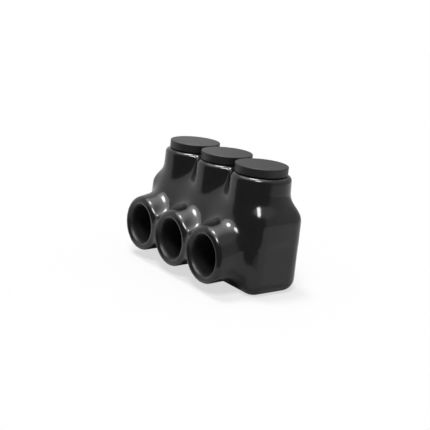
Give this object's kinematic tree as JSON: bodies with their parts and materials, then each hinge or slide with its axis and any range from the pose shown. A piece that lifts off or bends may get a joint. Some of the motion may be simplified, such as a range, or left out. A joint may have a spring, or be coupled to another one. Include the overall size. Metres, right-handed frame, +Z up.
{
  "type": "insulated multi-tap connector",
  "caption": "Electrical splice block in a black moulded cover: conductors enter tubes on one side and are clamped by socket screws under round pull-out plugs.",
  "frame": {"origin": "on the flat underside of the cover, straight below the middle screw", "axes": "+Z up, out of the plugs; the ports face -Y; +X runs along the row of ports"},
  "size_m": [0.0874, 0.0449, 0.0558],
  "materials": {
    "cover": "black, glossy moulded vinyl",
    "block": "tin-plated, satin",
    "screw": "zinc-plated steel",
    "plug": "black, matte moulded vinyl"
  },
  "bodies": {
    "connector": {"insulation_cover": "cover", "connector_block": "block"},
    "screw_1": {"set_screw_1": "screw"},
    "plug_1": {"access_plug_1": "plug"},
    "screw_2": {"set_screw_2": "screw"},
    "plug_2": {"access_plug_2": "plug"},
    "screw_3": {"set_screw_3": "screw"},
    "plug_3": {"access_plug_3": "plug"}
  },
  "joints": [
    {"name": "screw_1_feed", "type": "slide", "parent": "connector", "child": "screw_1", "axis": [0, 0, -1], "range_m": [0, 0.01155]},
    {"name": "screw_2_feed", "type": "slide", "parent": "connector", "child": "screw_2", "axis": [0, 0, -1], "range_m": [0, 0.01155]},
    {"name": "screw_3_feed", "type": "slide", "parent": "connector", "child": "screw_3", "axis": [0, 0, -1], "range_m": [0, 0.01155]},
    {"name": "plug_1_pull", "type": "slide", "parent": "connector", "child": "plug_1", "axis": [0, 0, 1], "range_m": [0, 0.01]},
    {"name": "plug_2_pull", "type": "slide", "parent": "connector", "child": "plug_2", "axis": [0, 0, 1], "range_m": [0, 0.01]},
    {"name": "plug_3_pull", "type": "slide", "parent": "connector", "child": "plug_3", "axis": [0, 0, 1], "range_m": [0, 0.01]}
  ]
}
